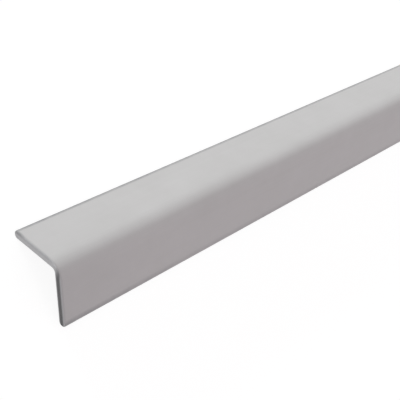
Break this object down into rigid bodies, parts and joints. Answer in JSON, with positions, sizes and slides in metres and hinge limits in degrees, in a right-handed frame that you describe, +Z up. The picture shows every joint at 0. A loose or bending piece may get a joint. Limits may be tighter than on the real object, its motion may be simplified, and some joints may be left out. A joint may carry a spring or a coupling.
{
  "type": "corner guard moulding",
  "caption": "Rigid right-angle moulding with two equal legs and a rounded nose, glued over an outside wall corner to protect it.",
  "frame": {"origin": "on the floor, under the middle of the ridge", "axes": "+X along the stock, +Z up through the rounded nose, +Y across, towards one leg's free edge"},
  "size_m": [1.2192, 0.0392, 0.0199],
  "materials": {
    "rigid_vinyl": "satin"
  },
  "bodies": {
    "root": {"corner_guard": "rigid_vinyl"}
  },
  "joints": []
}
